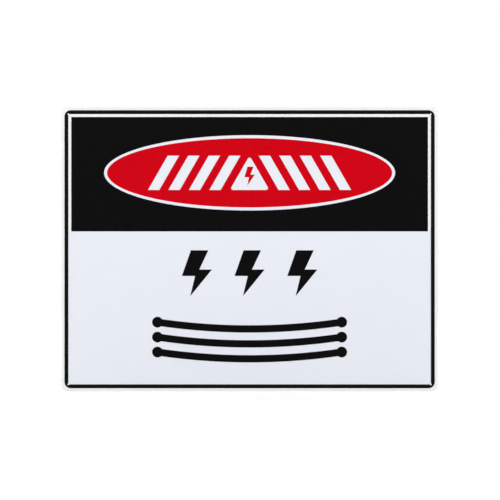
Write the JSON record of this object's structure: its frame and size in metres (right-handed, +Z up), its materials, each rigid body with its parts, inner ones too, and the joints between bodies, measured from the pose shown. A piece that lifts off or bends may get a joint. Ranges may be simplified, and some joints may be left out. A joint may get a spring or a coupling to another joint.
{
  "type": "high voltage warning sign",
  "caption": "Flat rectangular warning sign in white plastic with a pressed border rib, a black header, a red oval window, black lightning bolts and sagging wires.",
  "frame": {"origin": "middle of the flat back, which is where the sign is fixed", "axes": "+X to the right of the printed face as a reader sees it, +Y out of the back towards the wall, +Z up. The printed face looks along -Y"},
  "size_m": [0.3, 0.0016, 0.2266],
  "materials": {
    "white_sheet": "satin white sheet, moulded through",
    "black_ink": "smooth opaque screen ink",
    "red_ink": "smooth opaque screen ink"
  },
  "bodies": {
    "root": {"sign_sheet": "white_sheet", "border_print": "black_ink", "header_print": "black_ink", "oval_print": "red_ink", "bolt_print": "black_ink", "wire_print": "black_ink"}
  },
  "joints": []
}
